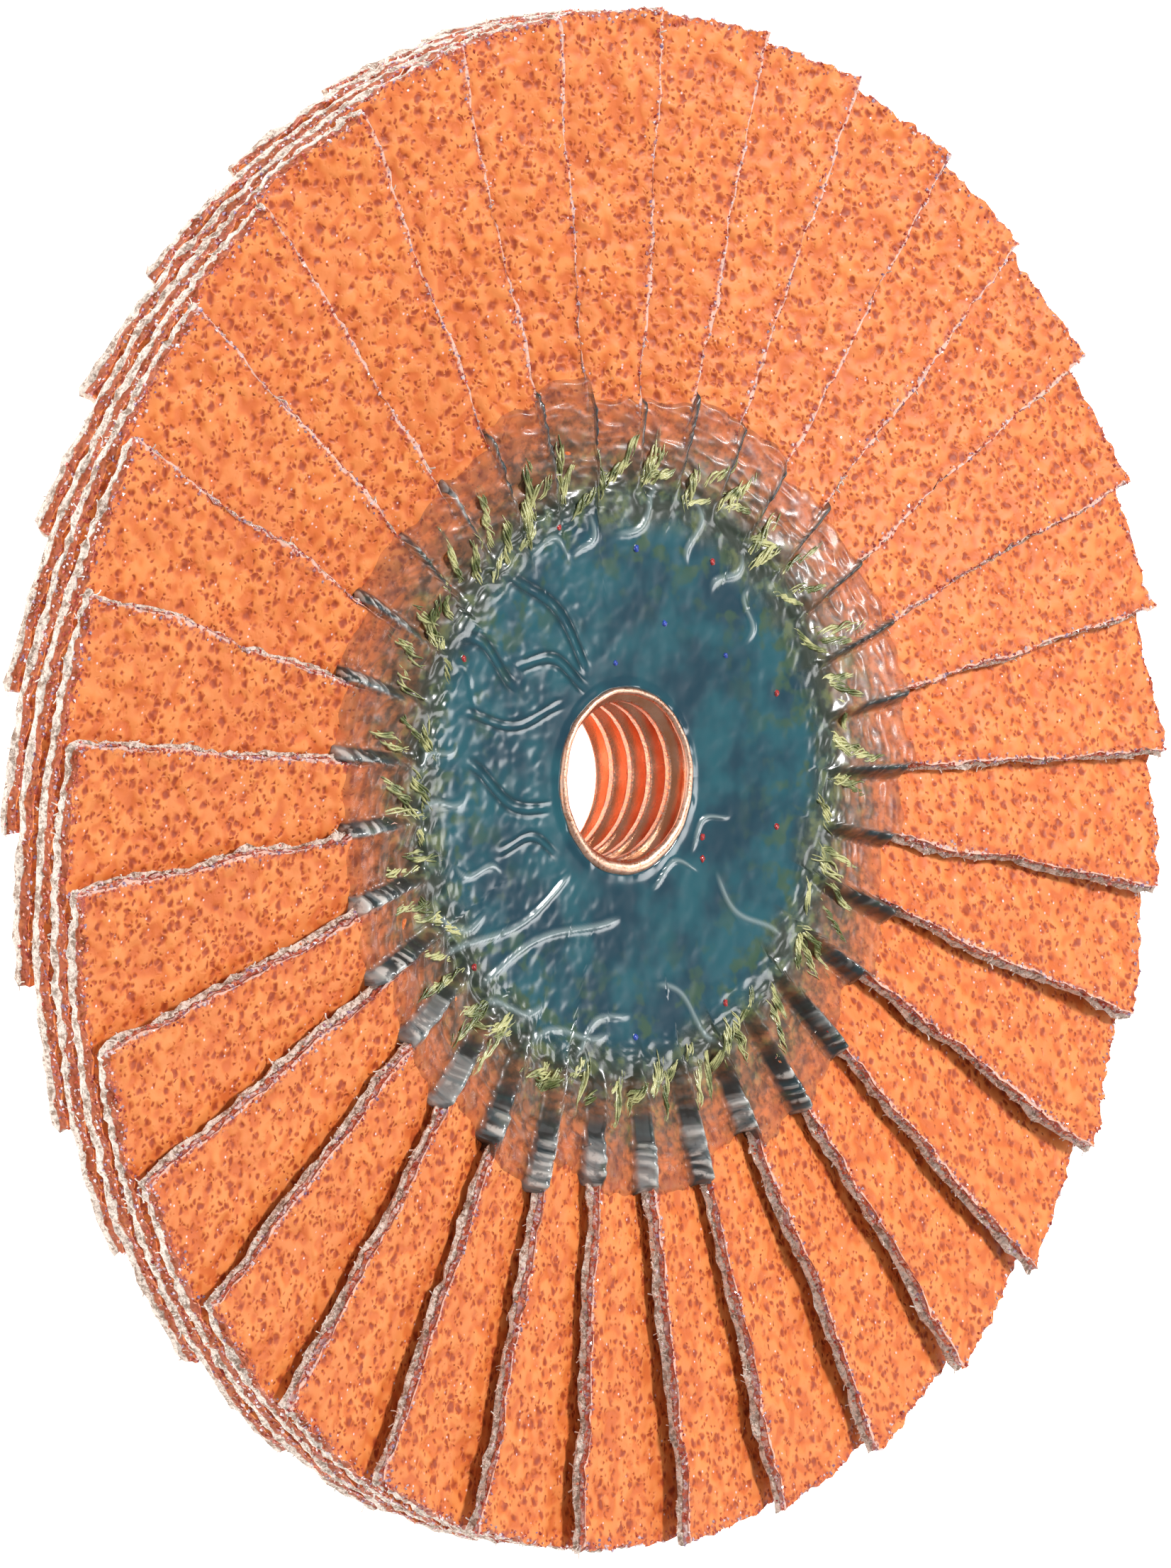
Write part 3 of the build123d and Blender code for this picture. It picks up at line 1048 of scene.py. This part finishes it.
wet_yarn, start, shader = new_finish("wet_yarn", {
    "Roughness": 0.35,
    "Coat Weight": 0.4,
    "Coat Roughness": 0.15,
})
place = place_in_mm(start)
stain = noise(place, 0.7, 2.0).ease(0.36, 0.62)
feed(shader, {
    "Base Color": stain.blend(stain_dark, stain_light),
    "Normal": relief(noise(place, 6.0, 2.0), 0.5, 0.1 * mm),
})
new_piece("frayed_yarns", yarn_vertices, yarn_faces, wet_yarn)


# Specks
# Chips of blue and red pigment that were stirred into the resin. They lie in its skin, at a
# radius in millimetres and an angle in degrees.
speck_places = {
    "blue": [(17.4, 86), (12.4, 70), (8.9, 96), (19.3, 271), (14.0, 40)],
    "red": [
        (21.1, 218), (10.2, 322), (9.3, 330), (18.6, 60), (20.0, 300),
        (19.6, 150), (16.5, 345), (20.4, 110), (17.2, 20),
    ],
}
speck_colors = {"blue": (0.02, 0.08, 0.55), "red": (0.55, 0.03, 0.03)}
chip_corners = 7
chip_heights_and_widths = ((-0.12, 0.9), (0.07, 0.75))
for color, places in speck_places.items():
    finish, start, shader = new_finish(f"{color}_pigment", {"Roughness": 0.15, "Coat Weight": 0.8})
    place = place_in_mm(start)
    rough = noise(place, 4.0, 2.0)
    dark = tuple(0.4 * value for value in speck_colors[color])
    feed(shader, {"Base Color": rough.ease(0.3, 0.6).blend(dark, speck_colors[color])})
    chip_vertices = []
    chip_faces = []
    for radius_mm, degrees in places:
        centre = np.array(on_resin(radius_mm * mm, degrees / 360 * flap_count, 0.0))
        first = len(chip_vertices)
        for above, width in chip_heights_and_widths:
            for corner in range(chip_corners):
                turn = 2 * math.pi * corner / chip_corners
                reach = random.uniform(0.22, 0.42) * width * mm
                offset = np.array([reach * math.cos(turn), reach * math.sin(turn), above * mm])
                chip_vertices.append(centre + offset)
        for face in grid_faces(2, chip_corners):
            chip_faces.append(tuple(first + corner for corner in face))
        chip_faces.append(tuple(first + corner for corner in reversed(range(chip_corners))))
        chip_faces.append(tuple(first + chip_corners + corner for corner in range(chip_corners)))
    new_piece(f"{color}_specks", chip_vertices, chip_faces, finish)


# Studio
# White table that glows, a small key light at the picture's upper right, a soft panel that the
# upper left of the resin mirrors, a broad fill light on the camera's side, and a long lens
# whose length, place and turn are fitted to the corners of the flaps in the photo.
table_half = 1.5
table_finish, start, shader = new_finish("white_table", {
    "Base Color": (0.9, 0.9, 0.9),
    "Roughness": 0.9,
    "Specular IOR Level": 0.0,
    "Emission Color": (1.0, 1.0, 1.0),
    "Emission Strength": 1.5,
})
table_mesh = bpy.data.meshes.new("white_table")
table_corners = [
    (-table_half, -table_half, 0),
    (table_half, -table_half, 0),
    (table_half, table_half, 0),
    (-table_half, table_half, 0),
]
table_mesh.from_pydata(table_corners, [], [(0, 1, 2, 3)])
table_mesh.materials.append(table_finish)
table = bpy.data.objects.new("white_table", table_mesh)
collection.objects.link(table)


def add_panel(name, azimuth, elevation, distance, width, power):
    """Soft round light that faces the disc from a direction in degrees."""
    light = bpy.data.lights.new(name, "AREA")
    light.shape = "DISK"
    light.size = width
    light.energy = power
    panel = bpy.data.objects.new(name, light)
    turn = math.radians(azimuth)
    rise = math.radians(elevation)
    panel.location = (
        distance * math.cos(rise) * math.cos(turn),
        distance * math.cos(rise) * math.sin(turn),
        distance * math.sin(rise),
    )
    panel.rotation_euler = (0, math.pi / 2 - rise, turn)
    collection.objects.link(panel)


add_panel("key_light", azimuth=50, elevation=59, distance=0.9, width=0.18, power=6.85)
add_panel("mirror_panel", azimuth=-15, elevation=32, distance=0.9, width=0.36, power=1.5)
add_panel("fill_light", azimuth=178, elevation=28, distance=1.0, width=0.9, power=2.7)

world = bpy.data.worlds.new("studio")
world.use_nodes = True
feed(world.node_tree.nodes["Background"], {"Color": (1.0, 1.0, 1.0), "Strength": 0.28})
bpy.context.scene.world = world
bpy.context.scene.view_settings.view_transform = "Standard"

lens = bpy.data.cameras.new("long_lens")
lens.sensor_fit = "VERTICAL"
lens.sensor_height = 36.0
lens.lens = 227.7
lens.clip_end = 10.0
camera = bpy.data.objects.new("camera", lens)
camera.location = (-524.64 * mm, 38.63 * mm, 534.76 * mm)
camera.rotation_euler = (math.radians(-2.1366), math.radians(-44.8248), math.radians(-1.2207))
collection.objects.link(camera)
bpy.context.scene.camera = camera
